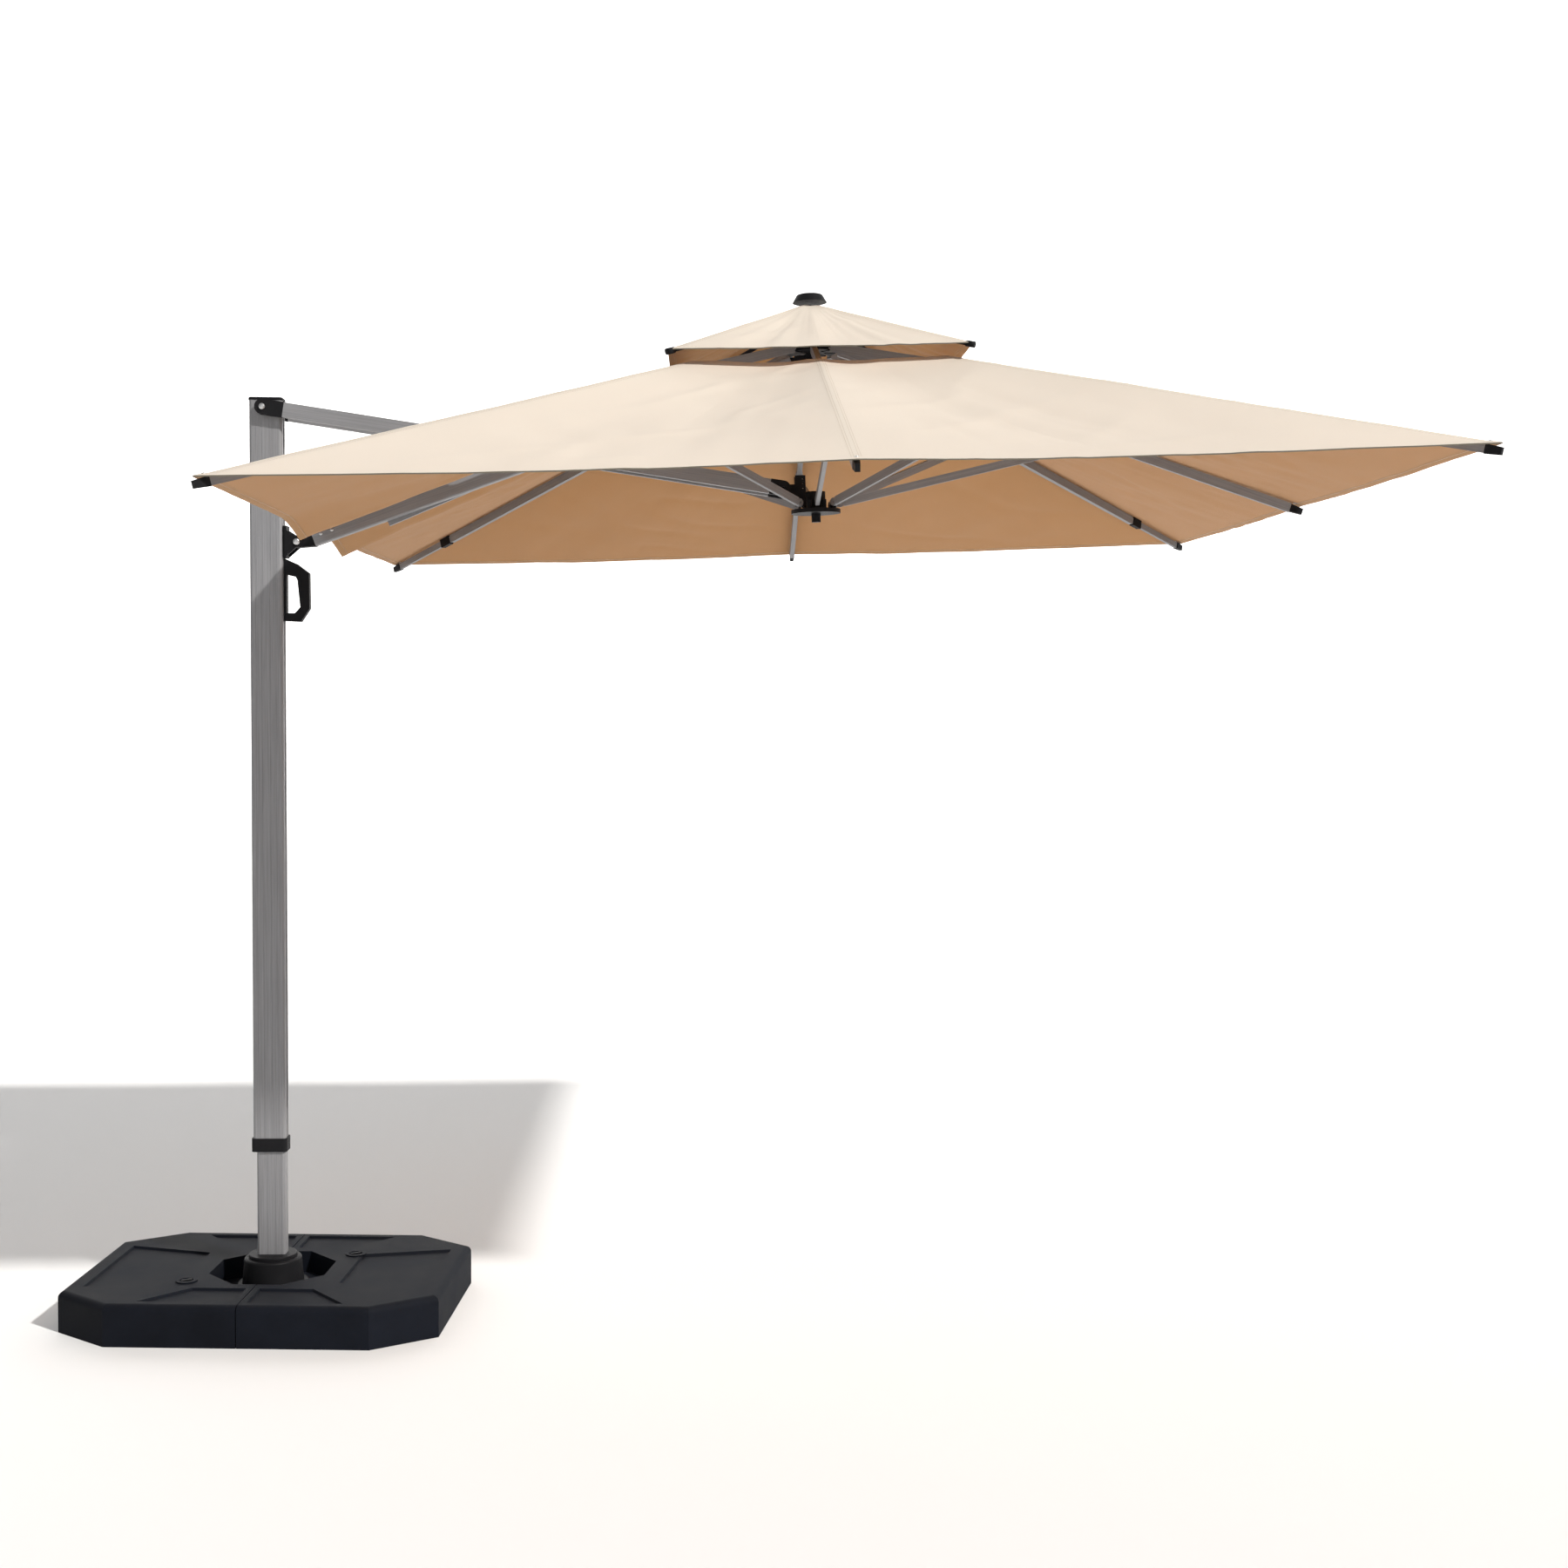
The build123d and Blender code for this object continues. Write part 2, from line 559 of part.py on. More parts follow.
for azimuth in CORNERS:
    with BuildPart() as vent_panel:
        high = VENT_APEX - 8
        for drop, mode in ((0, Mode.ADD), (FABRIC, Mode.SUBTRACT)):
            with BuildSketch(canopy.offset(VENT_HEM - drop)):
                Rectangle(VENT_SPAN, VENT_SPAN)
            with BuildSketch(canopy.offset(high - drop)):
                Rectangle(*[level_side(VENT_SPAN, VENT_APEX, VENT_HEM, high)] * 2)
            loft(mode=mode)
        with BuildSketch(canopy.offset(VENT_HEM - 20)):
            Polygon(*sector(azimuth, 45), align=None)
        extrude(amount=VENT_APEX, mode=Mode.INTERSECT)
        with BuildSketch(canopy):
            Circle(26)
        extrude(amount=VENT_APEX + 20, mode=Mode.SUBTRACT)
    save(vent_panel.part, f"vent_{azimuth}")
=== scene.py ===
"""Cantilever patio umbrella: cloth, trim, materials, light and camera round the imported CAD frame. Metres."""

import json
from collections import namedtuple
from math import atan2, cos, pi, radians, sin

import bpy
import numpy as np
from mathutils import Matrix, Vector, noise


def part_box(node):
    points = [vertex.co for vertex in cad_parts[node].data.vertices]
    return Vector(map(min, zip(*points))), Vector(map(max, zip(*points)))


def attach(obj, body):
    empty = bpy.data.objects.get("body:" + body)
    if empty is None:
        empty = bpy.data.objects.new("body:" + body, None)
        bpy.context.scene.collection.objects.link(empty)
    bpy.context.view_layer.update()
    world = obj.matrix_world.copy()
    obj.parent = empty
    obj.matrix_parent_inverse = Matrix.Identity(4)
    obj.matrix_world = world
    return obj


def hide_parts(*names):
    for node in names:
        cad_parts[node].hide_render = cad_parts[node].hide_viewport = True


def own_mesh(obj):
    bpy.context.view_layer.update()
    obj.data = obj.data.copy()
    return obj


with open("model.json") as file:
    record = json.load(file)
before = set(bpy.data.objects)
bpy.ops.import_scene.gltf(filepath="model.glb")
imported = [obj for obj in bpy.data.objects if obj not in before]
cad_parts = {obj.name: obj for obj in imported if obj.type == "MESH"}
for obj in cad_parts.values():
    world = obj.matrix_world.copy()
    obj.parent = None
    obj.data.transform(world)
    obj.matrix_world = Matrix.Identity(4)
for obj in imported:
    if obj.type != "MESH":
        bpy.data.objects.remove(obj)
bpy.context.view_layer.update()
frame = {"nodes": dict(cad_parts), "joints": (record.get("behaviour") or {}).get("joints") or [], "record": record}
nodes = frame["nodes"]
joints = {joint["name"]: joint for joint in frame["joints"]}


def joint_place(name):
    """Where a joint's axis passes, in the row frame."""
    return Vector(joints[name]["pos_m"])


# The canopy's own frame, from the hinges of its ribs: x away from the mast, z up the middle.
TOP_PIN_HEIGHT = 0.518
canopy_x = -Vector(joints["rib_90_hinge"]["axis"]).normalized()
canopy_z = canopy_x.cross(Vector((0, 1, 0)))
canopy_origin = (joint_place("rib_90_hinge") + joint_place("rib_270_hinge")) / 2 - canopy_z * TOP_PIN_HEIGHT
canopy = Matrix.Translation(canopy_origin) @ Matrix((canopy_x, (0, 1, 0), canopy_z)).transposed().to_4x4()

HALF_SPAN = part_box("panel_90")[1].y
VENT_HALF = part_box("vent_45")[1].y
HOLE = VENT_HALF * 0.84                   # half side of the lower tier's opening
APEX, HEM = 0.562, 0.006                  # the lower tier's heights over the canopy's plane
VENT_APEX, VENT_HEM = 0.655, 0.452        # the upper tier's
CORNERS = (45, 135, 225, 315)
RIB_AZIMUTHS = (0, 45, 90, 135, 225, 270, 315)
DETAIL = 2

# ---------------------------------------------------------------- materials


class Shader:
    """A node tree under construction: small helpers that add one node each and return its output."""

    def __init__(self, name):
        self.material = bpy.data.materials.new(name)
        self.material.use_nodes = True
        self.tree = self.material.node_tree
        self.principled = self.tree.nodes["Principled BSDF"]
        self.position = self.tree.nodes.new("ShaderNodeTexCoord").outputs["Object"]

    def link(self, source, target):
        self.tree.links.new(source, target)

    def feed(self, **sources):
        """Links node outputs to the principled shader's own sockets."""
        for name, source in sources.items():
            self.link(source, self.principled.inputs[name.replace("_", " ")])

    def set(self, **values):
        """Sets the principled shader's own sockets."""
        for name, value in values.items():
            self.principled.inputs[name.replace("_", " ")].default_value = value

    def vector(self, operation, first, second):
        node = self.tree.nodes.new("ShaderNodeVectorMath")
        node.operation = operation
        self.link(first, node.inputs[0])
        node.inputs[1].default_value = second
        return node.outputs[0]

    def math(self, operation, *values, clamp=False):
        """Arithmetic on sockets and numbers."""
        node = self.tree.nodes.new("ShaderNodeMath")
        node.operation = operation
        node.use_clamp = clamp
        for socket, value in zip(node.inputs, values):
            if isinstance(value, (int, float)):
                socket.default_value = value
            else:
                self.link(value, socket)
        return node.outputs[0]

    def noise(self, scale, detail, place=None):
        node = self.tree.nodes.new("ShaderNodeTexNoise")
        node.inputs["Scale"].default_value = scale
        node.inputs["Detail"].default_value = detail
        self.link(place or self.position, node.inputs["Vector"])
        return node.outputs[0]

    def attribute(self, name):
        node = self.tree.nodes.new("ShaderNodeAttribute")
        node.attribute_name = name
        return node.outputs["Fac"]

    def ramp(self, factor, *stops):
        """Colour ramp through (position, colour) stops."""
        node = self.tree.nodes.new("ShaderNodeValToRGB")
        for index, (place, colour) in enumerate(stops):
            element = node.color_ramp.elements[index]
            element.position = place
            element.color = (*colour, 1)
        self.link(factor, node.inputs[0])
        return node.outputs[0]

    def mix(self, factor, first, second):
        """Colour mix of a socket and a plain colour."""
        node = self.tree.nodes.new("ShaderNodeMix")
        node.data_type = "RGBA"
        factor_socket, first_socket, second_socket = (node.inputs[index] for index in (0, 6, 7))
        self.link(factor, factor_socket)
        self.link(first, first_socket)
        second_socket.default_value = (*second, 1)
        return node.outputs[2]

    def bump(self, height, distance, strength):
        node = self.tree.nodes.new("ShaderNodeBump")
        node.inputs["Distance"].default_value = distance
        node.inputs["Strength"].default_value = strength
        self.link(height, node.inputs["Height"])
        return node.outputs[0]


STREAK_STRETCH = 90                       # how many times longer than wide a die line is


def streaks(shader, direction, scale):
    """Noise drawn out along a direction, as on an extruded or brushed tube."""
    axis = Vector(direction).normalized()
    node = shader.tree.nodes.new("ShaderNodeVectorRotate")
    node.rotation_type = "EULER_XYZ"
    node.inputs["Rotation"].default_value = axis.rotation_difference(Vector((0, 0, 1))).to_euler()
    shader.link(shader.position, node.inputs["Vector"])
    drawn_out = shader.vector("MULTIPLY", node.outputs[0], (scale, scale, scale / STREAK_STRETCH))
    return shader.noise(1.0, 2.0, drawn_out)


ALUMINIUM = (0.25, 0.25, 0.26)


def aluminium(name, direction):
    """Satin anodised tube, with die lines along it and faint handling marks."""
    shader = Shader(name)
    lines, marks = streaks(shader, direction, 420), shader.noise(9, 4)
    light, dark = tuple(c * 1.12 for c in ALUMINIUM), tuple(c * 0.86 for c in ALUMINIUM)
    shader.feed(
        Base_Color=shader.ramp(lines, (0.3, dark), (0.7, light)),
        Roughness=shader.math("MULTIPLY_ADD", marks, 0.22, 0.38),
        Normal=shader.bump(lines, 0.00012, 0.6),
    )
    shader.set(Metallic=0.3)
    return shader.material


DUST = (0.16, 0.15, 0.14)


def moulding(name, colour, grain, roughness=0.5, dust=0.0):
    """Spark-eroded or blow-moulded plastic: fine grain, uneven sheen and a little dust on upward faces."""
    shader = Shader(name)
    fine, broad = shader.noise(grain, 2), shader.noise(6, 4)
    pale = tuple(c * 1.8 for c in colour)
    tone = shader.ramp(broad, (0.35, colour), (0.75, pale))
    if dust:
        normal = shader.tree.nodes.new("ShaderNodeNewGeometry").outputs["Normal"]
        up = shader.tree.nodes.new("ShaderNodeSeparateXYZ")
        shader.link(normal, up.inputs[0])
        lying = shader.math("MULTIPLY", shader.math("POWER", up.outputs[2], 3.0, clamp=True), dust)
        patches = shader.math("MULTIPLY", lying, shader.noise(3.2, 6))
        tone = shader.mix(patches, tone, DUST)
    shader.feed(
        Base_Color=tone,
        Roughness=shader.math("MULTIPLY_ADD", broad, 0.25, roughness - 0.12),
        Normal=shader.bump(fine, 0.0004, 0.5),
    )
    shader.set(Specular_IOR_Level=0.09)
    return shader.material


def zinc(name):
    """Bright zinc of bolts and rivets, with faint turning marks."""
    shader = Shader(name)
    marks = shader.noise(900, 2)
    shader.feed(
        Base_Color=shader.ramp(marks, (0.3, (0.5, 0.5, 0.5)), (0.7, (0.72, 0.72, 0.72))),
        Normal=shader.bump(marks, 0.0001, 0.5),
    )
    shader.set(Metallic=1.0, Roughness=0.3)
    return shader.material


THREAD_PITCH, STITCH_PITCH = 0.0016, 0.006
STITCH_HALF_WIDTH = 0.0009
STITCH_ROWS = (("to_hem", (0.004, 0.019)), ("to_seam", (0.006, 0.012)))
STITCH_COLOUR = (0.42, 0.33, 0.22)
HEM_DOUBLED, SEAM_DOUBLED = 0.022, 0.015  # how far from the edge or seam the cloth is double
LIGHT_THROUGH = 0.16                      # share of the light that the cloth lets through


def sewing(shader, tone, height):
    """Adds rows of stitches, and the doubled cloth they hold, to a canvas's tone and relief."""
    along = shader.math("MULTIPLY", shader.attribute("along"), 2 * pi / STITCH_PITCH)
    dashes = shader.math("GREATER_THAN", shader.math("SINE", along), -0.35)
    rows = None
    for name_of_distance, places in STITCH_ROWS:
        distance = shader.attribute(name_of_distance)
        for place in places:
            gap = shader.math("ABSOLUTE", shader.math("SUBTRACT", distance, place))
            row = shader.math("LESS_THAN", gap, STITCH_HALF_WIDTH)
            rows = row if rows is None else shader.math("MAXIMUM", rows, row)
    stitches = shader.math("MULTIPLY", rows, dashes)
    in_hem = shader.math("LESS_THAN", shader.attribute("to_hem"), HEM_DOUBLED)
    over_rib = shader.math("LESS_THAN", shader.attribute("to_seam"), SEAM_DOUBLED)
    doubled = shader.math("MAXIMUM", in_hem, over_rib)
    tone = shader.mix(shader.math("MULTIPLY", stitches, 0.55), tone, STITCH_COLOUR)
    height = shader.math("ADD", height, shader.math("MULTIPLY", doubled, 3.0))
    return tone, shader.math("SUBTRACT", height, shader.math("MULTIPLY", stitches, 2.0))


def canvas(name, colour, through, seams=True):
    """Woven polyester: plain weave, slubs, sewn hem and seams, and sun that shows warm through it."""
    shader = Shader(name)
    uv = shader.tree.nodes.new("ShaderNodeUVMap").outputs[0]
    split = shader.tree.nodes.new("ShaderNodeSeparateXYZ")
    shader.link(uv, split.inputs[0])
    warp, weft = (
        shader.math("SINE", shader.math("MULTIPLY", split.outputs[axis], 2 * pi / THREAD_PITCH))
        for axis in (0, 1)
    )
    weave = shader.math("MULTIPLY", warp, weft)
    slubs = shader.noise(1.0, 3, shader.vector("MULTIPLY", uv, (260, 26, 1)))
    fade = shader.noise(1.7, 4)
    tone = shader.ramp(fade, (0.3, tuple(c * 0.955 for c in colour)), (0.7, colour))
    tone = shader.mix(shader.math("MULTIPLY", slubs, 0.07), tone, tuple(c * 0.8 for c in colour))
    height = shader.math("ADD", shader.math("MULTIPLY", weave, 0.25), slubs)
    if seams:
        tone, height = sewing(shader, tone, height)
    shader.feed(Base_Color=tone, Normal=shader.bump(height, 0.0005, 0.55))
    shader.set(Roughness=0.85, Sheen_Weight=0.15)
    glow = shader.tree.nodes.new("ShaderNodeBsdfTranslucent")
    glow.inputs["Color"].default_value = (*through, 1)
    both = shader.tree.nodes.new("ShaderNodeMixShader")
    both.inputs[0].default_value = LIGHT_THROUGH
    shader.link(shader.principled.outputs[0], both.inputs[1])
    shader.link(glow.outputs[0], both.inputs[2])
    shader.link(both.outputs[0], shader.tree.nodes["Material Output"].inputs["Surface"])
    return shader.material


cream = canvas("cream canvas", (0.80, 0.725, 0.62), (0.85, 0.47, 0.20))
# The underside is painted backlight: the cream cloth coloured warm tan, as it looks with the sun shining through
# it from above.
painted_backlit_underside = canvas("painted backlit underside", (0.47, 0.25, 0.095), (0.80, 0.42, 0.16))
# The dark band on the hem's outer edge is painted shade, where the edge of the hem lies in its own shadow.
painted_edge_shade = canvas("hem piping", (0.16, 0.145, 0.11), (0.2, 0.15, 0.1), seams=False)
binding_cloth = canvas("slit binding", (0.17, 0.055, 0.035), (0.3, 0.08, 0.04), seams=False)
black = moulding("black moulding", (0.008, 0.008, 0.009), 1400)
tank_black = moulding("blow-moulded tank", (0.004, 0.005, 0.008), 500, roughness=0.7, dust=0.03)
steel = moulding("powder-coated steel", (0.02, 0.02, 0.02), 900, roughness=0.6)
bright = zinc("zinc plate")


def direction_of(name):
    """Long direction of a tube, found from its own vertices."""
    points = np.array([vertex.co for vertex in nodes[name].data.vertices])
    points = points - points.mean(0)
    return Vector(np.linalg.svd(points.T @ points)[0][:, 0])


BEVEL_WIDTHS = {"moulding": 0.0022, "ballast": 0.007, "frame": 0.0012}
HANDLE_BEVEL = 0.007
slot_of = {part["node"]: part["material_slot"] for part in frame["record"]["subparts"]}
by_slot = {"ballast": tank_black, "steel": steel, "moulding": black, "bolt": bright, "canopy": cream}
for name, obj in nodes.items():
    chosen = by_slot.get(slot_of[name]) or aluminium(f"aluminium {name}", direction_of(name))
    obj.data.materials.clear()
    obj.data.materials.append(chosen)
    if slot_of[name] in BEVEL_WIDTHS:
        bevel = obj.modifiers.new("worn edges", "BEVEL")
        bevel.width = HANDLE_BEVEL if name == "handle" else BEVEL_WIDTHS[slot_of[name]]
        bevel.segments = 3
        bevel.limit_method = "ANGLE"
        bevel.angle_limit = radians(35)

# ---------------------------------------------------------------- canopy cloth

# Sides are measured from the canopy's middle to the edge of a square; sag is the hang between two ribs.
Tier = namedtuple("Tier", "half_angle low high apex hem sag")
LOWER_TIER = Tier(22.5, HOLE, HALF_SPAN, APEX, HEM, 0.040)
UPPER_TIER = Tier(45, 0.028, VENT_HALF, VENT_APEX, VENT_HEM, 0.010)
MAST_DROOP = 0.045
SLIT_HALF, SLIT_TAPER = 0.060, 0.031
SLIT_OPENS, SLIT_NARROWS = (0.50, 0.06), (1.03, 0.10)    # where each starts, and over what length
CLOTH_THICKNESS = 0.0008
HEM_TAPE, BINDING_TAPE = (0.020, 0.0034), (0.016, 0.004)  # width and thickness
HEM_REGION = 0.03                         # nearer the edge than this, stitches run along the hem
SLOPE_STRETCH = 1.06                      # length on the sloping cloth for each metre on the plan


def unit_square(azimuth):
    """Point of a square with half side 1 in the direction of an azimuth in radians."""
    reach = max(abs(cos(azimuth)), abs(sin(azimuth)))
    return cos(azimuth) / reach, sin(azimuth) / reach


def creases(x, y, share):
    """Small tension folds: long ones along the pull of the ribs and short ones across the panels."""
    turn, reach = atan2(y, x), (x * x + y * y) ** 0.5
    pulled = noise.noise(Vector((turn * 11, reach * 1.3, 3.1)))
    fine = noise.noise(Vector((turn * 34, reach * 1.9, 6.7)))
    crossed = noise.noise(Vector((x * 7 + y * 5, y * 1.6 - x * 2.2, 8.4)))
    sharp = 1 - abs(noise.noise(Vector((x * 3.1 - y * 4.3, x * 1.1 + y * 2.4, 1.7)))) * 2
    taut = 1 - 0.75 * share ** 5
    folds = 0.009 * pulled * share + 0.0035 * fine * share + 0.005 * crossed
    return (folds + 0.006 * max(sharp, 0) ** 4) * taut


def tier_point(azimuth, side, tier):
    """Point of a square tier over the canopy's plane, hanging a little between the ribs."""
    x, y = (part * side for part in unit_square(azimuth))
    between = sin(pi * ((azimuth / (pi / 4)) % 1.0))
    share = (side - tier.low) / (tier.high - tier.low)
    pull = 1 - 0.007 * between * share ** 3
    hang = tier.sag * between * (0.22 + sin(pi * share ** 0.8) * 0.78)
    height = tier.apex - (tier.apex - tier.hem) * side / tier.high - hang
    if tier is LOWER_TIER:
        # No rib runs towards the mast, so the cloth droops there between the slit and its seams.
        off_middle = abs(abs(azimuth - pi) / radians(tier.half_angle) - 0.55)
        height -= MAST_DROOP * max(0, 1 - off_middle / 0.45) ** 1.5 * share ** 1.5
    return Vector((x * pull, y * pull, height + creases(x, y, share) * (0.2 + 0.8 * between)))


def eased(place, start, length):
    """Smooth step from 0 at a start to 1 a length further on."""
    share = min(max((place - start) / length, 0), 1)
    return share * share * (3 - 2 * share)


def slit(side):
    """Half width of the opening on the mast's side."""
    return (SLIT_HALF - SLIT_TAPER * eased(side, *SLIT_NARROWS)) * eased(side, *SLIT_OPENS)


def add_mesh(name, points, faces, material, body, uv=None, values=None, smooth=True):
    """Mesh object in the row frame that rides on a CAD body."""
    name = name.replace(" ", "_")
    mesh = bpy.data.meshes.new(name)
    mesh.from_pydata([tuple(point) for point in points], [], faces)
    mesh.materials.append(material)
    mesh.polygons.foreach_set("use_smooth", [smooth] * len(mesh.polygons))
    if uv:
        layer = mesh.uv_layers.new(name="UVMap")
        for loop in mesh.loops:
            layer.data[loop.index].uv = uv[loop.vertex_index]
    for key, numbers in (values or {}).items():
        mesh.attributes.new(key, "FLOAT", "POINT").data.foreach_set("value", numbers)
    obj = bpy.data.objects.new(name, mesh)
    bpy.context.scene.collection.objects.link(obj)
    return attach(obj, body)


def fold_flat(obj):
    """Gives a cloth piece its own copy of its mesh."""
    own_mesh(obj)


TAPE_SECTION = ((0.0, 0.5), (0.0, -0.5), (0.5, -0.6), (1.0, -0.5), (1.0, 0.5), (0.5, 0.6))
TAPE_OVERHANG = 0.08                      # share of a tape's width outside the edge it covers
HEM_FACES = (2, 1, 1, 0, 0, 0)            # painted shade on the outer edge, painted backlight on the underside, cream elsewhere


def tape(name, edge, inwards, size, material, body):
    """Flat band with rounded long sides that follows a line of points on the cloth."""
    width, thickness = size
    points, faces, uv = [], [], []
    sides = len(TAPE_SECTION)
    along = 0.0
    for index, place in enumerate(edge):
        along += (place - edge[max(index - 1, 0)]).length
        for across, lift in TAPE_SECTION:
            off_edge = inwards[index] * (across - TAPE_OVERHANG) * width
            points.append(place + off_edge + canopy_z * lift * thickness)
            uv.append((across * width, along))
    for index in range(len(edge) - 1):
        for corner in range(sides):
            a, b = index * sides + corner, index * sides + (corner + 1) % sides
            faces.append((a, b, b + sides, a + sides))
    end = len(points) - sides
    faces += [tuple(reversed(range(sides))), tuple(range(end, end + sides))]
    band = add_mesh(name, points, faces, material, body, uv=uv, smooth=False)
    # On hems the outer edge gets painted shade and the underside gets painted backlight.
    if material is cream:
        band.data.materials.append(painted_backlit_underside)
        band.data.materials.append(painted_edge_shade)
        for number in range(sides * (len(edge) - 1)):
            band.data.polygons[number].material_index = HEM_FACES[number % sides]
    return band


def build_wing(name, azimuth, body, cad_node, tier, columns, rows, part=0):
    """One sewn wing of a tier with its hem; part 1 or -1 makes the half on that side of the slit."""
    first, last = -columns if part < 1 else 0, columns if part > -1 else 0
    wide = last - first + 1
    sides = [tier.low + (tier.high - tier.low) * row / rows for row in range(rows + 1)]
    points, uv, to_hem, along = [], [], [], []
    for side in sides:
        for column in range(first, last + 1):
            place = tier_point(radians(azimuth + tier.half_angle * column / columns), side, tier)
            place.y -= part * slit(side) * (1 - abs(column) / columns)
            points.append(canopy @ place)
            across = side * radians(tier.half_angle) * column / columns
            uv.append((across, side * SLOPE_STRETCH))
            to_hem.append(tier.high - side)
            along.append(across if tier.high - side < HEM_REGION else side)
    faces = []
    for row in range(rows):
        for column in range(wide - 1):
            corner = row * wide + column
            faces.append((corner, corner + wide, corner + wide + 1, corner + 1))
    values = {"to_hem": to_hem, "to_seam": [abs(place[0]) for place in uv], "along": along}
    cloth = add_mesh(name, points, faces, cream, body, uv=uv, values=values)
    cloth.data.materials.append(painted_backlit_underside)
    thickness = cloth.modifiers.new("thickness", "SOLIDIFY")
    thickness.thickness = CLOTH_THICKNESS
    # The back shell takes the underside's painted backlight colour.
    thickness.material_offset = 1
    thickness.use_rim = False
    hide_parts(cad_node)

    outer, inner = points[rows * wide:], points[(rows - 1) * wide:rows * wide]
    inwards = [(b - a).normalized() for a, b in zip(outer, inner)]
    pieces = [tape(f"{name} hem", outer, inwards, HEM_TAPE, cream, body)]
    if part:
        beside_slit = wide - 1 if part < 0 else 0
        edge = [points[row * wide + beside_slit] for row, side in enumerate(sides) if slit(side) > 0.002]
        inwards = [Vector((0, -part, 0))] * len(edge)
        pieces.append(tape(f"{name} binding", edge, inwards, BINDING_TAPE, binding_cloth, body))
    for piece in [cloth] + pieces:
        fold_flat(piece)


for azimuth in RIB_AZIMUTHS:
    build_wing(f"canopy wing {azimuth}", azimuth, f"rib_{azimuth}", f"panel_{azimuth}", LOWER_TIER,
               12 * DETAIL, 36 * DETAIL)
for label, part in (("left", 1), ("right", -1)):
    build_wing(f"canopy wing 180 {label}", 180, "boom", "panel_180", LOWER_TIER,
               12 * DETAIL, 36 * DETAIL, part)
for azimuth in CORNERS:
    build_wing(f"vent wing {azimuth}", azimuth, f"rib_{azimuth}", f"vent_{azimuth}", UPPER_TIER,
               14 * DETAIL, 14 * DETAIL)

# ---------------------------------------------------------------- trim

DISC_SIDES, ROD_SIDES = 24, 16
# Rings of a domed head, as shares of its radius and of its drum's height.
DISC_RINGS = ((1.0, 0.0), (1.0, 0.55), (0.86, 0.85), (0.5, 1.025), (0.0, 1.2))
HEAD_SUNK = 0.001                         # how far a bolt head sits in the face behind it


def disc(name, place, axis, radius, height, body):
    """Zinc rivet or bolt head: a short drum with a domed face, standing on place along axis."""
    turn = Vector((0, 0, 1)).rotation_difference(Vector(axis).normalized()).to_matrix()
    points, faces = [], []
    for share, lift in DISC_RINGS:
        for step in range(DISC_SIDES):
            angle = 2 * pi * step / DISC_SIDES
            local = Vector((radius * share * cos(angle), radius * share * sin(angle), height * lift))
            points.append(Vector(place) + turn @ local)
    for ring in range(len(DISC_RINGS) - 1):
        for step in range(DISC_SIDES):
            a, b = ring * DISC_SIDES + step, ring * DISC_SIDES + (step + 1) % DISC_SIDES
            faces.append((a, b, b + DISC_SIDES, a + DISC_SIDES))
    faces.append(tuple(reversed(range(DISC_SIDES))))
    add_mesh(name, points, faces, bright, body)


def rod(name, start, end, width, height, body):
    """Straight plastic bar of rounded rectangular section between two points."""
    axis = (end - start).normalized()
    side = axis.cross(Vector((0, 0, 1))).normalized()
    up = side.cross(axis)
    points, faces = [], []
    for place in (start, end):
        for step in range(ROD_SIDES):
            angle = 2 * pi * (step + 0.5) / ROD_SIDES
            flatten = 1 / max(abs(cos(angle)), abs(sin(angle))) ** 0.7
            across = side * cos(angle) * flatten * width / 2
            points.append(place + across + up * sin(angle) * flatten * height / 2)
    for step in range(ROD_SIDES):
        following = (step + 1) % ROD_SIDES
        faces.append((step, following, following + ROD_SIDES, step + ROD_SIDES))
    faces += [tuple(reversed(range(ROD_SIDES))), tuple(range(ROD_SIDES, 2 * ROD_SIDES))]
    add_mesh(name, points, faces, black, body)


slider_pin = joint_place("slider_pivot")
boom_way = (joint_place("top_hub_pivot") - slider_pin).normalized()
tie_side, slider_side, boom_side = (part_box(part)[1].y for part in ("tie_bolt", "slider", "boom"))
# Name, pin, distance of the face from the middle plane, radius, thickness and body of each bolt's heads.
BOLT_HEADS = (
    ("tie bolt head", joint_place("fold"), tie_side, 0.0085, 0.0030, "mast"),
    ("cross bolt head", joint_place("boom_pivot"), tie_side, 0.0085, 0.0030, "tie_arms"),
    ("boom bolt head", slider_pin, slider_side, 0.0100, 0.0045, "slider"),
)
for side, label in ((-1, "front"), (1, "back")):
    out = Vector((0, side, 0))
    for name, pin, face, radius, height, body in BOLT_HEADS:
        disc(f"{name} {label}", pin + out * (face - HEAD_SUNK), out, radius, height, body)
    for number, reach in enumerate((0.075, 0.110)):
        place = slider_pin + boom_way * reach + out * (boom_side - 0.0004)
        disc(f"boom rivet {label} {number + 1}", place, out, 0.0055, 0.0022, "boom")

# The vent's stays run under its corners, from a root near the middle to a cap at the edge.
STAY_ROOT, STAY_TIP = 0.22, 0.985         # shares of the vent's half side
STAY_SIZE, CAP_SIZE = (0.009, 0.012), (0.020, 0.018)
CAP_REACH = 0.012
for azimuth in CORNERS:
    body = f"rib_{azimuth}"
    x, y = (part * VENT_HALF for part in unit_square(radians(azimuth)))
    tip = canopy @ Vector((x * STAY_TIP, y * STAY_TIP, VENT_HEM - 0.004))
    root = canopy @ Vector((x * STAY_ROOT, y * STAY_ROOT, VENT_APEX - 0.075))
    rod(f"vent stay {azimuth}", root, tip, *STAY_SIZE, body)
    outwards = (tip - root).normalized()
    rod(f"vent tip {azimuth}", tip - outwards * CAP_REACH, tip + outwards * CAP_REACH, *CAP_SIZE, body)
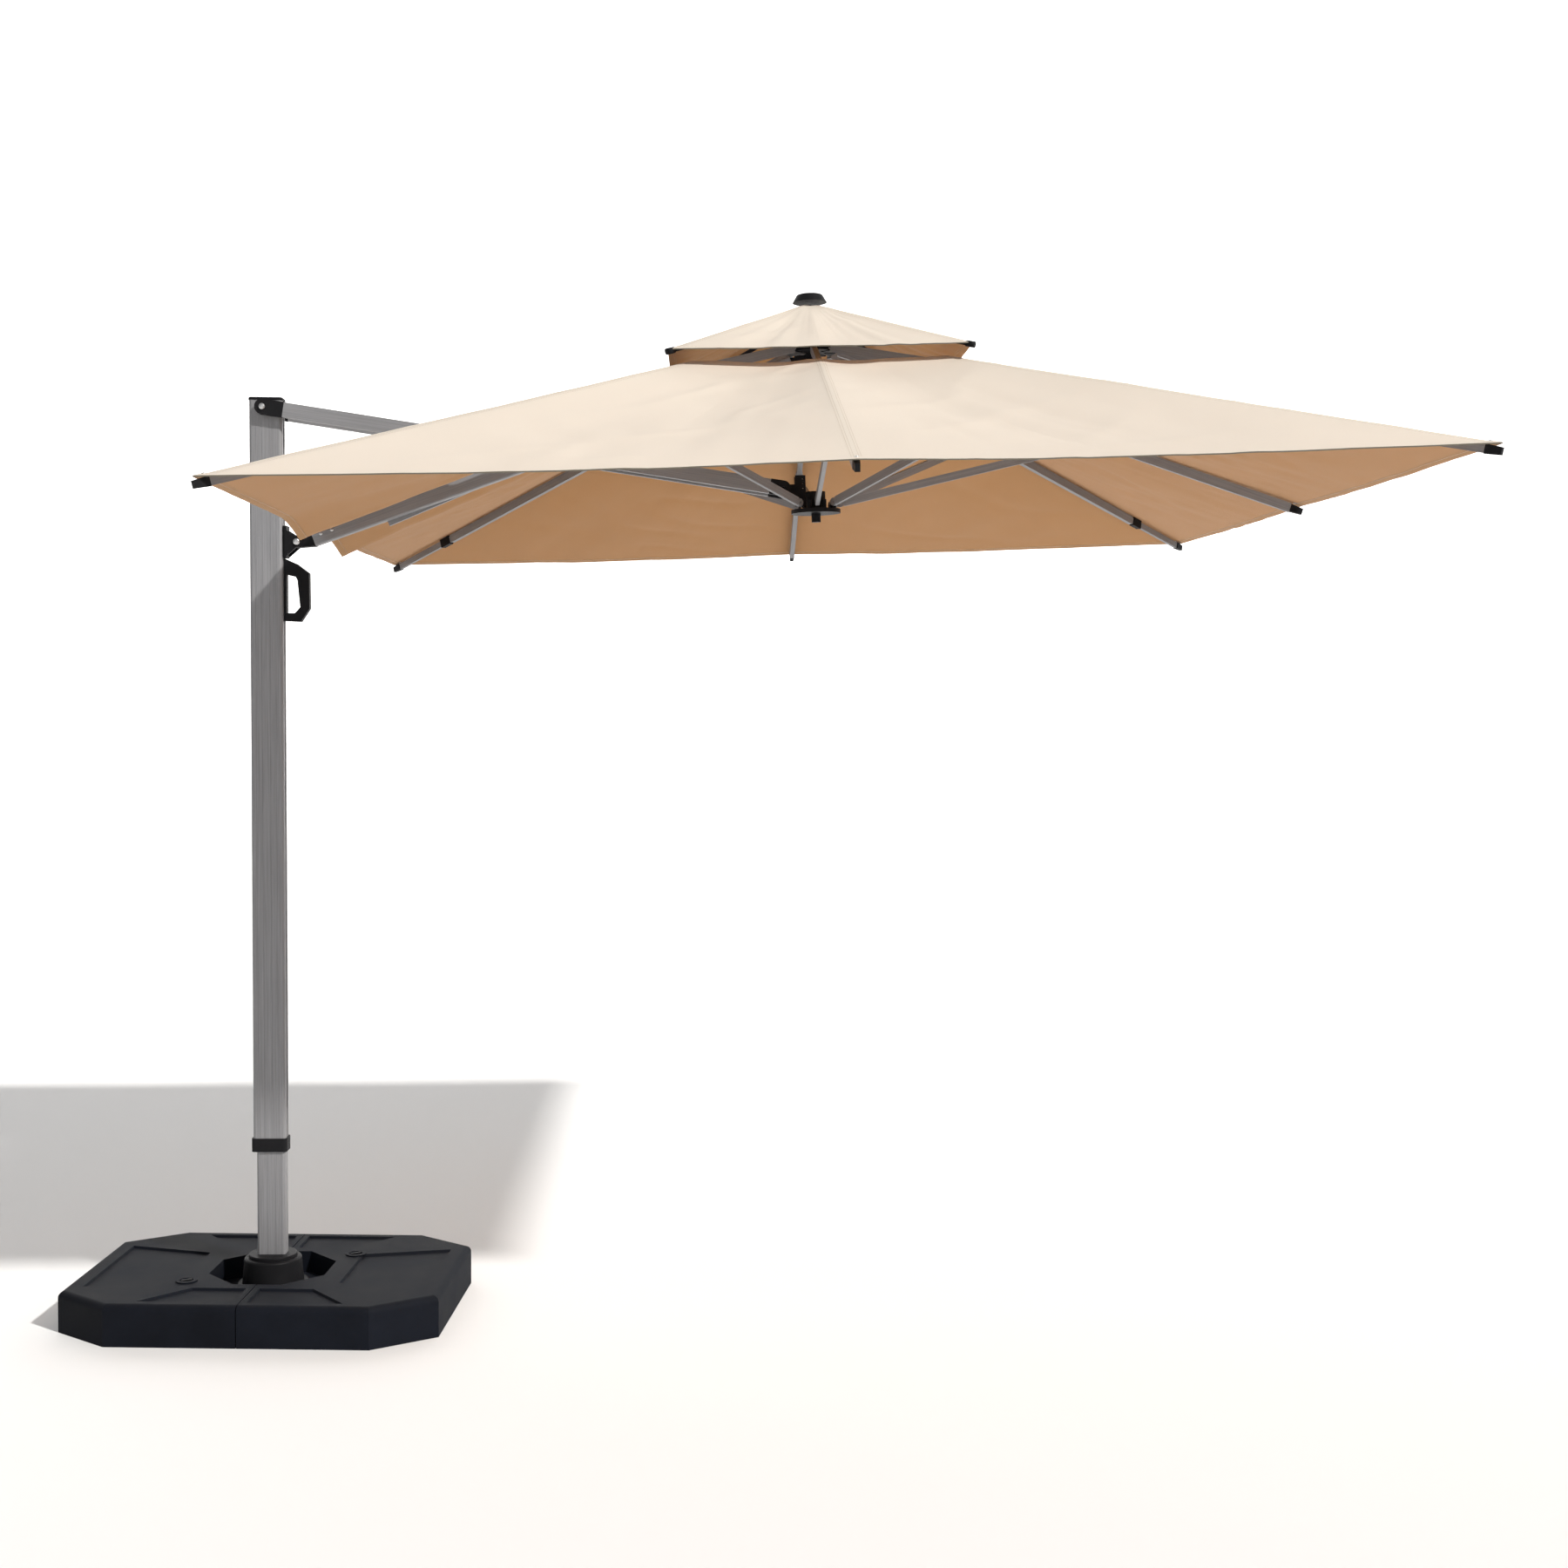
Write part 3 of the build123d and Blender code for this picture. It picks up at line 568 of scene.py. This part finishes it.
for azimuth in RIB_AZIMUTHS:
    x, y = (part * (HALF_SPAN - 0.020) for part in unit_square(radians(azimuth)))
    place = canopy @ Vector((x, y, HEM + 0.006))
    disc(f"tip rivet {azimuth}", place, canopy_z, 0.0065, 0.0035, f"rib_{azimuth}")

# ---------------------------------------------------------------- floor, light and camera

bpy.ops.mesh.primitive_plane_add(size=60, location=(0, 0, 0))
floor = bpy.context.object
floor.name = "floor"
paper = Shader("pale floor")
paper.set(Base_Color=(0.80, 0.80, 0.80, 1), Roughness=0.9)
floor.data.materials.append(paper.material)
bpy.ops.mesh.primitive_plane_add(size=80, location=(0, 26, 0), rotation=(pi / 2, 0, 0))
backdrop = bpy.context.object
backdrop.name = "backdrop"
glowing = Shader("white backdrop")
glowing.set(Base_Color=(0.8, 0.8, 0.8, 1), Roughness=0.9, Emission_Color=(1, 1, 1, 1), Emission_Strength=0.85)
backdrop.data.materials.append(glowing.material)

world = bpy.data.worlds.new("studio")
world.use_nodes = True
world.node_tree.nodes["Background"].inputs["Color"].default_value = (1.0, 0.99, 0.98, 1)
world.node_tree.nodes["Background"].inputs["Strength"].default_value = 0.30
bpy.context.scene.world = world
bpy.context.scene.view_settings.view_transform = "Standard"


def sun(name, travel, energy, spread, colour):
    """Sun whose light travels along a direction; its spread is in degrees."""
    data = bpy.data.lights.new(name, "SUN")
    data.energy, data.angle, data.color = energy, radians(spread), colour
    lamp = bpy.data.objects.new(name, data)
    lamp.rotation_euler = Vector((0, 0, -1)).rotation_difference(Vector(travel)).to_euler()
    bpy.context.scene.collection.objects.link(lamp)


sun("key", (-0.61, 0.50, -0.61), 3.8, 2.5, (1.0, 0.975, 0.94))
sun("fill", (0.15, 0.95, -0.25), 0.2, 40, (0.97, 0.98, 1.0))

# The camera that fits the photograph: place in metres, and turns in degrees from looking along y.
CAMERA_PLACE = (1.2738, -5.9984, 1.8771)
YAW, PITCH, ROLL = -2.691, -2.563, -0.344
SENSOR_WIDTH, FOCAL_LENGTH = 36, 45.05
lens = bpy.data.cameras.new("camera")
lens.sensor_width, lens.lens = SENSOR_WIDTH, FOCAL_LENGTH
camera = bpy.data.objects.new("camera", lens)
turn = Matrix.Rotation(radians(YAW), 3, "Z")
turn = turn @ Matrix.Rotation(radians(PITCH), 3, "X") @ Matrix.Rotation(radians(ROLL), 3, "Y")
level = Matrix.Rotation(pi / 2, 3, "X")
camera.matrix_world = Matrix.Translation(CAMERA_PLACE) @ (turn @ level).to_4x4()
bpy.context.scene.collection.objects.link(camera)
bpy.context.scene.camera = camera
